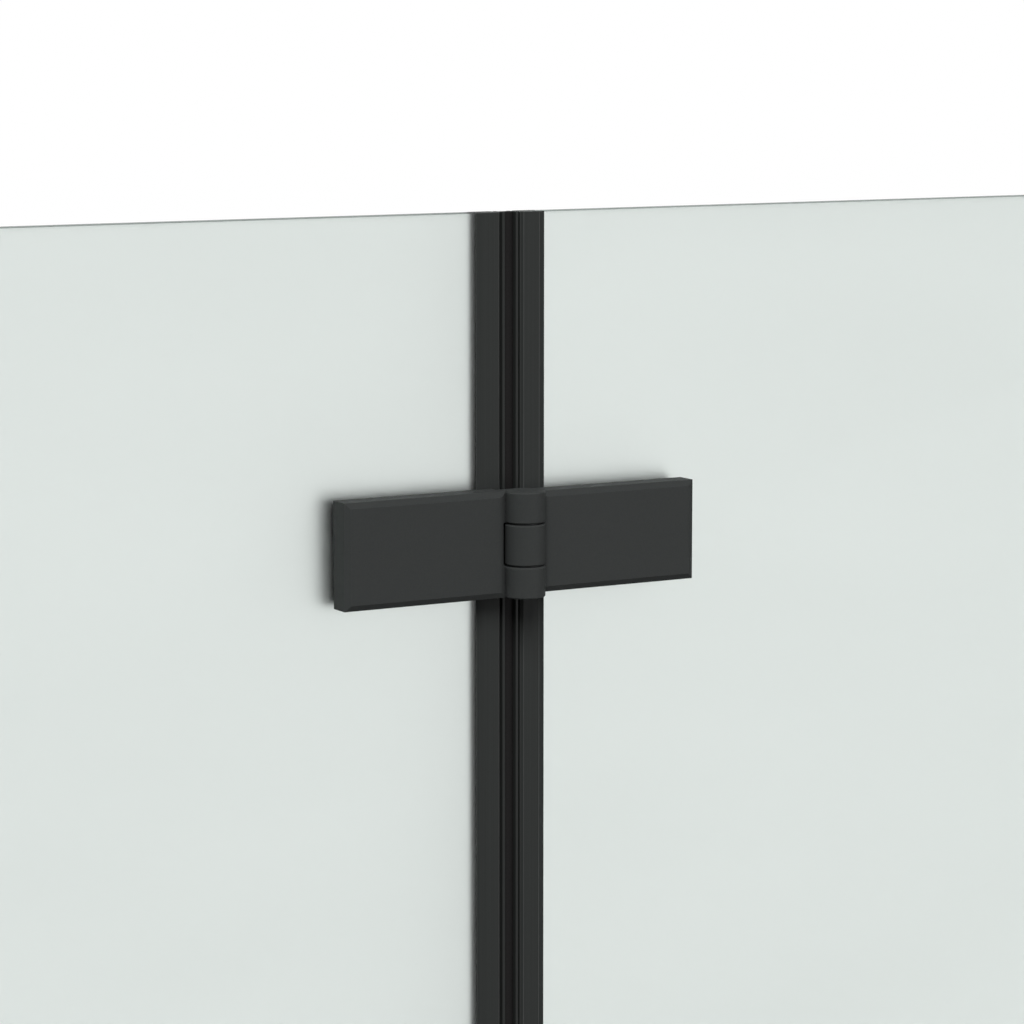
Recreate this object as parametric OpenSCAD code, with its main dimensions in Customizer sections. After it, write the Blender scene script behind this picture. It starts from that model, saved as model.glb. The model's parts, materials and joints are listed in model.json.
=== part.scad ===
// Folding bath screen.
//
// Two frosted safety-glass panels stand over a bath. The inner panel turns on
// a wall profile, and the outer panel folds flat against it on two clamp hinges.
//
// X runs from the wall to the free edge, Z is up, and -Y is the side with the
// hinge barrels. The origin is on the wall face, at the level of the bath rim.
// At rest both panels lie in one plane, with the middle of the glass at y = 0.

/* [Screen] */
// Distance from the wall face to the middle of the folding joint
inner_w = 630; // [600:5:800]
// Distance from the middle of the folding joint to the free edge
outer_w = 570; // [450:5:575]
// Height from the bath rim to the top of the cap
screen_h = 1400; // [1200:10:1600]
// Thickness of both panes
glass_t = 6; // [5:0.5:8]
// Radius of the outer pane's two free corners
glass_corner_r = 6; // [2:1:20]

/* [Wall channel] */
// Width of the channel along the wall
channel_w = 28; // [26:1:34]
// How far the channel stands off the wall
channel_d = 30; // [26:1:34]
// Thickness of the channel's two legs
channel_leg_t = 1.6; // [1.2:0.1:2]
// Thickness of the channel's base, against the wall
channel_base_t = 2; // [1.5:0.1:3]
// Radius of the wall screw holes
wall_hole_r = 2.6; // [2:0.1:3.2]
// Distance from each end of the channel to its first wall screw hole
wall_hole_end = 60; // [40:5:120]
// Thickness of the plastic top cap
cap_t = 2.5; // [2:0.5:4]

/* [Adjusting profile] */
// Space behind the adjusting profile, for a wall that is out of plumb
adjust_gap = 8; // [6:1:12]
// Thickness of the adjusting profile's walls
adjust_wall = 1.5; // [1.2:0.1:2]
// Outer radius of the two screw ports inside the profile
port_r = 3.5; // [3.2:0.1:4]
// Radius of the holes in the screw ports
port_hole_r = 2; // [1.6:0.1:2.2]
// Number of lock screws that hold the adjustment
lock_count = 3; // [2:1:4]
// Radius of a lock screw's shank
lock_r = 1.9; // [1.5:0.1:2.1]
// Radius of a lock screw's cover cap
lock_cap_r = 5.5; // [5:0.5:7]

/* [Wall pivot] */
// Distance from the wall face to the pivot axis
pivot_x = 44; // [42:1:50]
// Radius of the round back of the glass carrier
post_r = 10; // [9.5:0.5:10.5]
// Radius of the hole along the glass carrier
post_bore_r = 4.5; // [4:0.5:5]
// How far the carrier's legs reach past the pivot axis
carrier_reach = 22; // [18:1:28]
// Thickness of the carrier's legs
carrier_leg_t = 1.9; // [1.5:0.1:2]
// Thickness of the glazing gasket between the carrier and the glass
glazing_t = 1.2; // [0.8:0.1:1.2]
// Radius of the two pivot pins
pivot_pin_r = 3; // [2.5:0.25:3]
// Thickness of the two pivot brackets
bracket_t = 9; // [7:0.5:12]
// Radius of the brackets' round nose
nose_r = 9; // [7.5:0.5:9.5]
// Thickness of the pivot bushes' flanges
bush_flange_t = 1.5; // [1:0.25:2]
// Radius of the soft beads that seal the pivot's cove
bead_r = 1; // [0.8:0.1:1.2]

/* [Joint strips] */
// Width of each edge profile
strip_w = 10.4; // [9:0.1:12]
// Width of the bevel along each edge profile's outer edges
strip_bevel_w = 2.6; // [1:0.1:3]
// Width and depth taken off an edge profile's edges at the joint
strip_edge_w = 1; // [0.4:0.1:1.2]
// Thickness of each edge profile's walls on the glass
strip_wall = 1.2; // [1:0.1:1.3]
// Thickness of each edge profile's base, with the seal's groove in it
strip_base_t = 2.2; // [2:0.1:2.6]
// Gap between the two seals' outer fins
fin_gap = 4.6; // [4:0.2:5.2]
// Width of each outer fin
fin_w = 1.2; // [0.8:0.1:1.4]
// Width of the slot between a fin and its edge profile
fin_slot_w = 0.9; // [0.8:0.1:2]
// How far the fins lie below the edge profiles' faces
fin_inset = 0.7; // [0.3:0.1:1]
// How far the seal between the fins lies below their faces
recess_d = 1.6; // [1:0.1:2]

/* [Hinges] */
// Distance from the glass's top and bottom edges to the middle of a hinge
hinge_inset = 124.1; // [90:0.1:220]
// Length of each leaf, from the joint's middle to its outer end
leaf_w = 75.6; // [72:0.1:90]
// Height of the leaf with the two outer knuckles
inner_leaf_h = 40.4; // [36:0.2:50]
// Height of the leaf with the middle knuckle
outer_leaf_h = 38.6; // [34:0.2:48]
// How far the leaves' front faces stand off the glass
leaf_proud = 11.3; // [10.5:0.1:11.4]
// Width of the chamfer round each leaf's face
chamfer_w = 2.2; // [1:0.1:3]
// Depth of the chamfer round each leaf's face
chamfer_d = 1.1; // [0.8:0.1:2.4]
// Thickness of the clamp plates behind the glass
clamp_t = 8; // [6.5:0.5:9]
// How much shorter the clamp plates are than the leaves, at their outer ends
clamp_short = 1.2; // [0:0.1:3]
// Thickness of the rubber pads between the plates and the glass
pad_t = 1.5; // [1.4:0.1:2]
// Distance from the hinge axis to the face of the glass
axis_proud = 11.7; // [11.7:0.1:13]
// Radius of the hinge barrel
barrel_r = 7.7; // [7:0.1:8]
// Height of the middle knuckle, to the middle of its two seams
middle_knuckle = 16; // [12:1:20]
// Height of the seams between the knuckles
seam = 0.5; // [0.4:0.1:0.8]
// Space between the barrel and the leaf that turns round it
barrel_clear = 1.1; // [0.6:0.1:2]
// Length of the curved root between a barrel and its leaf's flat face
root_w = 3.1; // [2.2:0.1:4]
// Depth of the valley between a barrel and its leaf
root_drop = 1.2; // [0.4:0.1:1.6]
// Chamfer on the knuckles' edges
knuckle_edge = 0.5; // [0.2:0.1:0.8]
// Radius of the hinge pins
hinge_pin_r = 3; // [2.5:0.25:3.5]
// Wall of the bush in the middle knuckle
hinge_bush_wall = 1; // [0.8:0.1:1.5]
// Radius of the cover under each hinge pin
pin_cap_r = 5; // [4:0.25:5.5]
// Thickness of the cover under each hinge pin
pin_cap_t = 1.2; // [1:0.1:2]

/* [Clamp screws] */
// Radius of a clamp screw's shank
screw_r = 2.5; // [2:0.25:3]
// Radius of a clamp screw's countersunk head
screw_head_r = 4.8; // [4.4:0.1:5]
// Distance from the joint's middle to the first clamp screw
screw_near_x = 30; // [26:1:34]
// Distance from the joint's middle to the second clamp screw
screw_far_x = 58; // [50:1:62]
// How far a clamp screw goes into the front leaf
screw_bite = 6; // [4:0.5:6.5]
// Radius of the holes in the glass
glass_hole_r = 7; // [6:0.5:8]

/* [Bottom seals] */
// Thickness of the bottom seals' clips and fins
seal_t = 1.2; // [0.8:0.1:1.6]
// How far the clips reach up the glass
clip_h = 10; // [8:1:16]
// How far the fins spread from the clip at the bath rim
fin_spread = 2.2; // [1:0.1:4]
// How far the drip lip stands off the clip
drip_w = 5.2; // [3:0.1:8]

/* [Hidden] */
$fn = 48;
sides = [-1, 1];     // the two sides of the plane y = 0
fit = 0.05;          // clearance round what is pressed, screwed or pinned
slip = 0.1;          // clearance round what is pushed on by hand
slide = 0.3;         // clearance of the adjusting profile and of soft parts
cut = 1;             // how far a cutter runs past the face that it opens

screen_w = inner_w + outer_w;
glass_half = glass_t / 2;
channel_h = screen_h - cap_t;

// Wall side
wall_hole_count = 4;
adjust_half = channel_w / 2 - channel_leg_t - slide;
cove_r = post_r + slide + slip;
cove_setback = 7;                              // from the pivot axis to the cove's tips
adjust_front = pivot_x - cove_setback;
adjust_web = 2;                                // metal left behind the cove
port_x = (adjust_gap + adjust_web + pivot_x - cove_r) / 2;
port_bite = 0.5;                               // of the screw ports into the side walls
port_y = adjust_half - adjust_wall - port_r + port_bite;
lock_inset = 4.5;                              // from the profile's inner corner
lock_x = adjust_gap + adjust_wall + lock_inset;
lock_end = 200;                                // from the ends to the first lock screw
lock_head_r = 3.5;
lock_head_t = 2;
lock_socket_r = 1.1;
lock_socket_d = 1;
lock_reach = 6;                                // shank, from the channel's face inwards
lock_cap_h = 4;
lock_cap_wall = 1.1;
bead_angle = 35;                               // from straight behind the pivot
bead_ring_r = post_r + slide + bead_r;
bracket_lift = 0.5;                            // under the lower and over the upper bracket
lower_bracket_z = bracket_lift;
upper_bracket_z = channel_h - bracket_lift - bracket_t;
pivot_gap = bush_flange_t + 2 * slip;          // between a bracket and the carrier
pin_head_rim = 1.2;                            // of a pivot pin's head round its shank
pin_head_r = pivot_pin_r + pin_head_rim;
pin_head_t = 1.2;
pivot_pin_reach = 9;                           // of a pivot pin into its bush
bush_l = 14;
bush_flange_inset = 1.5;                       // of the bushes' flanges from the carrier's back
bush_flange_r = post_r - bush_flange_inset;
bracket_screw_l = 16;
bracket_head_r = 3.6;
cap_margin = 0.4;                              // of the top cap round the bracket
cap_lip_h = 6;

// Glass carrier
glass_z0 = lower_bracket_z + bracket_t + pivot_gap;
glass_z1 = upper_bracket_z - pivot_gap;
slot_half = glass_half + glazing_t + slip;
carrier_half = slot_half + carrier_leg_t;
slot_web = 2.5;                                // between the carrier's hole and its slot
slot_x = pivot_x + post_bore_r + slot_web;
carrier_x1 = pivot_x + carrier_reach;
glazing_lip = 0.8;                             // of the glazing gasket past the legs
glazing_lip_h = carrier_leg_t / 2;             // of that lip over the legs' ends
inner_glass_x0 = slot_x + glazing_t + 2 * fit;

// Joint strips, measured from the joint's middle
strip_half = glass_half + slip + strip_wall;
strip_tip = 0.5;                               // left over the glass at the bevel's foot
strip_tip_half = glass_half + strip_tip;
fin_x = fin_gap / 2;
strip_x = fin_x + fin_w + fin_slot_w;
strip_x1 = strip_x + strip_w;
glass_edge = strip_x + strip_base_t + slip;
groove_mouth = 1;                              // half heights of the seal's groove
groove_pocket = 1.8;
groove_neck = 0.6;                             // depth of the groove's mouth
fin_h = 1.8;                                   // of the fins over the seal behind them
fin_half_y = strip_half - fin_inset;
fin_land_half = fin_half_y - fin_h;
strip_z0 = glass_z0 + clip_h + slide;          // over the bottom seals
outer_glass_x0 = inner_w + glass_edge;

// Hinges
hinge_zs = [glass_z1 - hinge_inset, glass_z0 + hinge_inset];
axis_y = -(glass_half + axis_proud);
leaf_back = -(glass_half + pad_t);
leaf_front = -(glass_half + leaf_proud);
clamp_y0 = glass_half + pad_t;
clamp_y1 = clamp_y0 + clamp_t;
notch_x = barrel_r + barrel_clear;
face_x = barrel_r + root_w;
valley_x = barrel_r - 0.2;                     // the root's curve ends just inside the barrel
root_steps = 4;
arm_step = 0.8;                                // from the barrel's back to the arms' backs
arm_back = axis_y + barrel_r - arm_step;
clamp_x0 = 3;                                  // inner end of the clamp plates
pad_margin = 1.6;                              // from a pad to the plates' ends and the profile
pad_x0 = strip_x1 + pad_margin;
knuckle_z = (middle_knuckle + seam) / 2;
pin_top_wall = 2;                              // metal over the hinge pin
washer_t = seam - 2 * fit;
washer_inset = 1.5;                            // of the washers inside the barrel
washer_r = barrel_r - washer_inset;
hinge_bore_r = hinge_pin_r + fit;
bush_bore_r = hinge_pin_r + hinge_bush_wall + fit;
screw_xs = [screw_near_x, screw_far_x];
screw_tip_y = leaf_back - screw_bite;
screw_socket_r = 2;
screw_socket_d = 2;
head_depth = screw_head_r - screw_r;
sleeve_bore_r = screw_r + slide;

// Bottom seals
seal_half = glass_half + fit + seal_t;
seal_base_z = glass_z0 - slip - seal_t;
fin_half = seal_half + fin_spread;             // of the fins at the bath rim
drip_drop = 4;
inner_seal_x0 = carrier_x1 + glazing_lip + slide;
inner_seal_x1 = inner_w - slide;
outer_seal_x0 = inner_w + slide;
outer_seal_x1 = screen_w - glass_corner_r;

anodised_black = [0.20, 0.21, 0.205];
coated_black = [0.22, 0.23, 0.225];
rubber_black = [0.09, 0.09, 0.09];
nylon_black = [0.13, 0.13, 0.13];
frosted = [0.86, 0.89, 0.88, 0.75];
steel = [0.72, 0.72, 0.70];

// ---- shapes that repeat ----

// A block between two corners.
module block(low, high) {
    translate(low) cube(high - low);
}

// A rectangle between two corners.
module plate2d(low, high) {
    translate(low) square(high - low);
}

// A round bar along Z, from z0 to z1.
module upright(r, z0, z1) {
    translate([0, 0, z0]) cylinder(r = r, h = z1 - z0);
}

// A round bar along Y, from y0 to y1, at x and z.
module crossways(r, x, z, y0, y1) {
    translate([x, y1, z]) rotate([90, 0, 0]) cylinder(r = r, h = y1 - y0);
}

// A cone along Y, from radius r0 at y0 to r1 at y1.
module cone_crossways(r0, r1, x, z, y0, y1) {
    translate([x, y1, z]) rotate([90, 0, 0]) cylinder(r1 = r1, r2 = r0, h = y1 - y0);
}

// Extrudes a shape drawn in Y and Z along X.
module along_x(x0, x1) {
    translate([x0, 0, 0]) rotate([90, 0, 90]) linear_extrude(x1 - x0) children();
}

// Extrudes a shape drawn in X and Y upwards.
module up_from(z0, z1) {
    translate([0, 0, z0]) linear_extrude(z1 - z0) children();
}

// A ring along Z.
module ring(outer_r, inner_r, z0, z1) {
    difference() {
        upright(outer_r, z0, z1);
        upright(inner_r, z0 - cut, z1 + cut);
    }
}

// A solid at both sides of the plane y = 0.
module both_sides() {
    children();
    mirror([0, 1, 0]) children();
}

// ---- wall channel, adjusting profile and cap ----

// Evenly spaced heights along the channel, the first and last at the same distance from its ends.
function spread(count, end) = [for (i = [0:count - 1]) end + (channel_h - 2 * end) * i / (count - 1)];

wall_hole_zs = spread(wall_hole_count, wall_hole_end);
lock_zs = spread(lock_count, lock_end);

module wall_channel() {
    color(anodised_black) difference() {
        up_from(0, channel_h) difference() {
            plate2d([0, -channel_w / 2], [channel_d, channel_w / 2]);
            plate2d([channel_base_t, -channel_w / 2 + channel_leg_t],
                    [channel_d + cut, channel_w / 2 - channel_leg_t]);
        }
        for (z = wall_hole_zs)
            translate([-cut, 0, z]) rotate([0, 90, 0])
                cylinder(r = wall_hole_r, h = channel_base_t + 2 * cut);
        for (z = lock_zs)
            crossways(lock_r + slip, lock_x, z, channel_w / 2 - channel_leg_t - cut, channel_w / 2 + cut);
    }
}

module adjusting_section() {
    difference() {
        plate2d([adjust_gap, -adjust_half], [adjust_front, adjust_half]);
        difference() {
            plate2d([adjust_gap + adjust_wall, -adjust_half + adjust_wall],
                    [pivot_x - cove_r - adjust_web, adjust_half - adjust_wall]);
            for (side = sides) translate([port_x, side * port_y]) circle(port_r);
        }
        for (side = sides) translate([port_x, side * port_y]) circle(port_hole_r);
        translate([pivot_x, 0]) circle(cove_r);
        beads_section(bead_r + fit);
    }
}

// The two sealing beads in the cove, seen from above.
module beads_section(r) {
    for (side = sides)
        translate([pivot_x, 0]) rotate(180 + side * bead_angle) translate([bead_ring_r, 0]) circle(r);
}

module adjusting_profile() {
    color(anodised_black) difference() {
        up_from(lower_bracket_z + bracket_t, upper_bracket_z) adjusting_section();
        for (z = lock_zs)
            crossways(lock_r + fit, lock_x, z, adjust_half - adjust_wall - cut, adjust_half + cut);
    }
}

module pivot_seal_beads() {
    color(rubber_black) up_from(lower_bracket_z + bracket_t, upper_bracket_z) beads_section(bead_r);
}

module bracket_section() {
    plate2d([adjust_gap, -adjust_half], [adjust_front, adjust_half]);
    plate2d([adjust_front - cut, -nose_r + fit], [pivot_x, nose_r - fit]);
    translate([pivot_x, 0]) circle(nose_r);
}

// A pivot bracket that faces up; its outer face, at z = 0, takes the heads.
module pivot_bracket() {
    color(nylon_black) difference() {
        up_from(0, bracket_t) bracket_section();
        translate([pivot_x, 0, 0]) {
            upright(pivot_pin_r + fit, -cut, bracket_t + cut);
            upright(pin_head_r + slip, -cut, pin_head_t + fit);
        }
        both_sides() translate([port_x, port_y, 0]) {
            upright(port_hole_r, -cut, bracket_t + cut);
            translate([0, 0, -fit]) cylinder(r1 = bracket_head_r + fit, r2 = port_hole_r - fit,
                h = bracket_head_r - port_hole_r + 2 * fit);
        }
    }
}

// A pivot pin with its head at z = 0, pointing up.
module pivot_pin() {
    color(steel) translate([pivot_x, 0, 0]) {
        upright(pivot_pin_r, 0, bracket_t + pivot_gap + pivot_pin_reach);
        upright(pin_head_r, 0, pin_head_t);
    }
}

// Two countersunk screws with their heads at z = 0, pointing up.
module bracket_screw_pair() {
    color(steel) both_sides() translate([port_x, port_y, 0]) {
        upright(port_hole_r - fit, 0, bracket_screw_l);
        cylinder(r1 = bracket_head_r, r2 = port_hole_r - fit, h = bracket_head_r - port_hole_r + fit);
    }
}

// Puts what is drawn at z = 0, pointing up, at the lower bracket or over the upper one.
module at_lower_bracket() {
    translate([0, 0, lower_bracket_z]) children();
}
module at_upper_bracket() {
    translate([0, 0, upper_bracket_z + bracket_t]) mirror([0, 0, 1]) children();
}

module bracket_screws() {
    at_lower_bracket() bracket_screw_pair();
    at_upper_bracket() bracket_screw_pair();
}

module top_cap() {
    lip_x1 = adjust_gap - slide;
    color(nylon_black) {
        up_from(channel_h, screen_h) {
            plate2d([0, -channel_w / 2], [channel_d, channel_w / 2]);
            plate2d([channel_d - cut, -adjust_half], [adjust_front + cap_margin, adjust_half]);
            plate2d([adjust_front, -nose_r], [pivot_x, nose_r]);
            translate([pivot_x, 0]) circle(nose_r + cap_margin);
        }
        block([channel_base_t + slide, -adjust_half, channel_h - cap_lip_h],
              [lip_x1, adjust_half, channel_h + cut]);
    }
}

module lock_screws() {
    face = channel_w / 2;
    color(steel) for (z = lock_zs) {
        crossways(lock_r, lock_x, z, face - lock_reach, face + fit);
        difference() {
            crossways(lock_head_r, lock_x, z, face, face + lock_head_t);
            crossways(lock_socket_r, lock_x, z, face + lock_head_t - lock_socket_d, face + lock_head_t + cut);
        }
    }
}

module lock_screw_caps() {
    face = channel_w / 2;
    color(nylon_black) for (z = lock_zs) difference() {
        union() {
            crossways(lock_cap_r, lock_x, z, face, face + lock_cap_h - lock_cap_wall);
            cone_crossways(lock_cap_r, lock_cap_r - lock_cap_wall, lock_x, z,
                face + lock_cap_h - lock_cap_wall, face + lock_cap_h);
        }
        crossways(lock_head_r + slide, lock_x, z, face - cut, face + lock_head_t + slide);
    }
}

// ---- glass carrier, the part that turns on the wall side ----

module carrier_section() {
    difference() {
        union() {
            translate([pivot_x, 0]) circle(post_r);
            plate2d([pivot_x, -carrier_half], [carrier_x1, carrier_half]);
        }
        translate([pivot_x, 0]) circle(post_bore_r);
        plate2d([slot_x, -slot_half], [carrier_x1 + cut, slot_half]);
    }
}

module glass_carrier() {
    color(anodised_black) up_from(glass_z0, glass_z1) carrier_section();
}

module glazing_gasket() {
    outer = glass_half + glazing_t + fit;
    color(rubber_black) up_from(glass_z0, glass_z1) difference() {
        union() {
            plate2d([slot_x + fit, -outer], [carrier_x1 + glazing_lip, outer]);
            polygon([
                [carrier_x1 + fit, -outer - glazing_lip_h], [carrier_x1 + glazing_lip, -outer],
                [carrier_x1 + glazing_lip, outer], [carrier_x1 + fit, outer + glazing_lip_h]]);
        }
        plate2d([slot_x + fit + glazing_t, -glass_half - fit],
                [carrier_x1 + glazing_lip + cut, glass_half + fit]);
    }
}

// A flanged bush for a carrier's end, with its flange at z = 0, pointing up.
module pivot_bush() {
    color(nylon_black) translate([pivot_x, 0, 0]) difference() {
        union() {
            upright(bush_flange_r, 0, bush_flange_t);
            upright(post_bore_r - fit, 0, bush_flange_t + bush_l);
        }
        upright(pivot_pin_r + fit, -cut, bush_flange_t + bush_l + cut);
    }
}

// ---- glass ----

module hinge_glass_holes(side) {
    for (z = hinge_zs, x = screw_xs)
        crossways(glass_hole_r, inner_w + side * x, z, -glass_t, glass_t);
}

module inner_glass() {
    color(frosted) difference() {
        block([inner_glass_x0, -glass_half, glass_z0], [inner_w - glass_edge, glass_half, glass_z1]);
        hinge_glass_holes(-1);
    }
}

// The outer pane's outline in X and Z, with round free corners.
module outer_outline() {
    corner_x = screen_w - glass_corner_r;
    plate2d([outer_glass_x0, glass_z0], [corner_x, glass_z1]);
    plate2d([corner_x - cut, glass_z0 + glass_corner_r], [screen_w, glass_z1 - glass_corner_r]);
    for (z = [glass_z0 + glass_corner_r, glass_z1 - glass_corner_r])
        translate([corner_x, z]) circle(glass_corner_r);
}

module outer_glass() {
    color(frosted) difference() {
        translate([0, glass_half, 0]) rotate([90, 0, 0]) linear_extrude(glass_t) outer_outline();
        hinge_glass_holes(1);
    }
}

// ---- joint strips: each is drawn for the outer side, from the joint's middle ----

module on_side(side) {
    translate([inner_w, 0, 0]) if (side > 0) children(); else mirror([1, 0, 0]) children();
}

module edge_section() {
    difference() {
        polygon([
            [strip_x, strip_edge_w - strip_half], [strip_x + strip_edge_w, -strip_half],
            [strip_x1 - strip_bevel_w, -strip_half], [strip_x1, -strip_tip_half],
            [strip_x1, strip_tip_half], [strip_x1 - strip_bevel_w, strip_half],
            [strip_x + strip_edge_w, strip_half], [strip_x, strip_half - strip_edge_w]]);
        plate2d([glass_edge - slip, -glass_half - slip], [strip_x1 + cut, glass_half + slip]);
        plate2d([strip_x - cut, -groove_mouth], [strip_x + groove_neck + fit, groove_mouth]);
        plate2d([strip_x + groove_neck, -groove_pocket],
                [strip_x + strip_base_t - groove_neck, groove_pocket]);
    }
}

module edge_profile(side) {
    color(anodised_black) on_side(side) up_from(strip_z0, glass_z1) edge_section();
}

// The part that both seals share: two fins, the land behind them, and the clip in the groove.
module seal_section() {
    plate2d([fin_x, -fin_half_y], [fin_x + fin_w, fin_half_y]);
    plate2d([fin_x, -fin_land_half], [strip_x - fit, fin_land_half]);
    plate2d([fin_x + fin_w, -groove_mouth + slip], [strip_x + groove_neck + 2 * slip, groove_mouth - slip]);
    plate2d([strip_x + groove_neck + slip, -groove_pocket + slip],
            [strip_x + strip_base_t - groove_neck - slip, groove_pocket - slip]);
}

// The inner seal carries the lip that closes the gap.
module inner_joint_seal() {
    lip_half = fin_half_y - recess_d;
    color(rubber_black) on_side(-1) up_from(strip_z0, glass_z1) {
        seal_section();
        plate2d([-fin_x + slide, -lip_half], [fin_x + fit, lip_half]);
    }
}

module outer_joint_seal() {
    color(rubber_black) on_side(1) up_from(strip_z0, glass_z1) seal_section();
}

// ---- bottom seals ----

module bottom_seal_section() {
    difference() {
        plate2d([-seal_half, seal_base_z], [seal_half, glass_z0 + clip_h]);
        plate2d([-glass_half - fit, seal_base_z + seal_t], [glass_half + fit, glass_z0 + clip_h + cut]);
    }
    difference() {
        polygon([
            [-fin_half, 0], [fin_half, 0],
            [seal_half, seal_base_z + fit], [-seal_half, seal_base_z + fit]]);
        polygon([
            [seal_t - fin_half, -cut], [fin_half - seal_t, -cut], [fin_half - seal_t, 0],
            [seal_half - seal_t, seal_base_z], [seal_t - seal_half, seal_base_z], [seal_t - fin_half, 0]]);
    }
    polygon([
        [seal_half - fit, seal_base_z + drip_drop],
        [seal_half - fit, seal_base_z + drip_drop - seal_t],
        [seal_half + drip_w, seal_base_z - seal_t],
        [seal_half + drip_w, seal_base_z]]);
}

module bottom_seal(x0, x1) {
    color(rubber_black) along_x(x0, x1) bottom_seal_section();
}

// ---- hinges: drawn round z = 0, for the outer side ----

// Everything of one hinge lies at its height, on its side of the joint.
module at_hinge(i, side) {
    translate([0, 0, hinge_zs[i]]) on_side(side) children();
}

// A plate of height h between two x's and two y's, with a chamfer round its face at y1.
module chamfered_plate(h, x0, x1, y0, y1) {
    shoulder = y1 - chamfer_d;
    intersection() {
        up_from(-h / 2, h / 2) polygon([
            [x0, y0], [x1, y0], [x1, shoulder], [x1 - chamfer_w, y1],
            [x0 + chamfer_w, y1], [x0, shoulder]]);
        along_x(x0 - cut, x1 + cut) polygon([
            [y0, -h / 2], [shoulder, -h / 2], [y1, -h / 2 + chamfer_w],
            [y1, h / 2 - chamfer_w], [shoulder, h / 2], [y0, h / 2]]);
    }
}

// One knuckle of the barrel, with its edges taken off.
module knuckle(z0, z1) {
    translate([0, axis_y, 0]) rotate_extrude() polygon([
        [0, z0], [barrel_r - knuckle_edge, z0], [barrel_r, z0 + knuckle_edge],
        [barrel_r, z1 - knuckle_edge], [barrel_r - knuckle_edge, z1], [0, z1]]);
}

// A leaf seen from above. Its face falls in a curve to the valley next to the barrel.
module leaf_plan() {
    shoulder = leaf_front + chamfer_d;
    reach = face_x - valley_x;
    polygon(concat(
        [[0, leaf_front + root_drop]],
        [for (i = [root_steps:-1:1])
            [face_x - reach * i / root_steps, leaf_front + root_drop * pow(i / root_steps, 2)]],
        [[face_x, leaf_front], [leaf_w - chamfer_w, leaf_front], [leaf_w, shoulder],
         [leaf_w, leaf_back], [0, leaf_back]]));
}

// A leaf without its knuckles, with blind screw holes in its back.
// Between the heights in gaps it ends at the notch; elsewhere its arms reach the hinge axis.
module leaf_plate(h, gaps) {
    shoulder = leaf_front + chamfer_d;
    difference() {
        intersection() {
            up_from(-h / 2, h / 2) leaf_plan();
            along_x(-cut, leaf_w + cut) polygon([
                [shoulder, -h / 2], [leaf_back, -h / 2], [leaf_back, h / 2], [shoulder, h / 2],
                [leaf_front, h / 2 - chamfer_w], [leaf_front, -h / 2 + chamfer_w]]);
        }
        block([-cut, arm_back, -h / 2 - cut], [notch_x, leaf_back + cut, h / 2 + cut]);
        for (zs = gaps)
            block([-cut, leaf_front - cut, zs[0]], [notch_x, leaf_back + cut, zs[1]]);
        for (x = screw_xs)
            crossways(screw_r + fit, x, 0, screw_tip_y - fit, leaf_back + cut);
    }
}

module inner_leaf() {
    end = inner_leaf_h / 2;
    color(coated_black) difference() {
        union() {
            leaf_plate(inner_leaf_h, [[-knuckle_z, knuckle_z]]);
            knuckle(knuckle_z, end);
            knuckle(-end, -knuckle_z);
        }
        translate([0, axis_y, 0]) {
            upright(hinge_bore_r, -end - cut, end - pin_top_wall);
            upright(pin_cap_r + fit, -end - cut, -end + pin_cap_t + fit);
        }
    }
}

module outer_leaf() {
    end = knuckle_z - seam;
    top = outer_leaf_h / 2 + cut;
    color(coated_black) difference() {
        union() {
            leaf_plate(outer_leaf_h, [[end, top], [-top, -end]]);
            knuckle(-end, end);
        }
        translate([0, axis_y, 0]) upright(bush_bore_r, -end - cut, end + cut);
    }
}

// The plate behind the glass, with countersunk holes for the clamp screws.
module clamp_plate(h) {
    color(coated_black) difference() {
        chamfered_plate(h, clamp_x0, leaf_w - clamp_short, clamp_y0, clamp_y1);
        for (x = screw_xs) {
            crossways(screw_r + slip, x, 0, clamp_y0 - cut, clamp_y1 + cut);
            cone_crossways(screw_r + slip, screw_head_r + slip + fit, x, 0,
                clamp_y1 - head_depth, clamp_y1 + fit);
        }
    }
}

// One pad of rubber on each side of the glass.
module hinge_pads(h) {
    color(rubber_black) both_sides() difference() {
        block([pad_x0, glass_half, -h / 2 + pad_margin],
              [leaf_w - pad_margin, glass_half + pad_t, h / 2 - pad_margin]);
        for (x = screw_xs)
            crossways(sleeve_bore_r, x, 0, glass_half - cut, glass_half + pad_t + cut);
    }
}

// A sleeve round each clamp screw, where it passes the glass.
module screw_sleeves() {
    color(nylon_black) for (x = screw_xs) difference() {
        crossways(glass_hole_r - slip, x, 0, -glass_half, glass_half);
        crossways(sleeve_bore_r, x, 0, -glass_half - cut, glass_half + cut);
    }
}

// Countersunk screws with a hexagon socket, from the clamp plate into the leaf.
module clamp_screws() {
    color(steel) for (x = screw_xs) difference() {
        union() {
            crossways(screw_r, x, 0, screw_tip_y, clamp_y1 - fit);
            cone_crossways(screw_r, screw_head_r, x, 0, clamp_y1 - head_depth - fit, clamp_y1 - fit);
        }
        translate([x, clamp_y1 + cut, 0]) rotate([90, 0, 0])
            cylinder(r = screw_socket_r, h = cut + screw_socket_d, $fn = 6);
    }
}

module hinge_pin() {
    end = inner_leaf_h / 2;
    color(steel) translate([0, axis_y, 0])
        upright(hinge_pin_r, -end + pin_cap_t + 2 * fit, end - pin_top_wall - 2 * fit);
}

module pin_cap() {
    end = inner_leaf_h / 2;
    color(nylon_black) translate([0, axis_y, 0]) upright(pin_cap_r, -end, -end + pin_cap_t);
}

module hinge_washers() {
    seam_z = middle_knuckle / 2;
    color(nylon_black) translate([0, axis_y, 0]) for (z = [-seam_z, seam_z])
        ring(washer_r, hinge_pin_r + slip, z - washer_t / 2, z + washer_t / 2);
}

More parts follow.
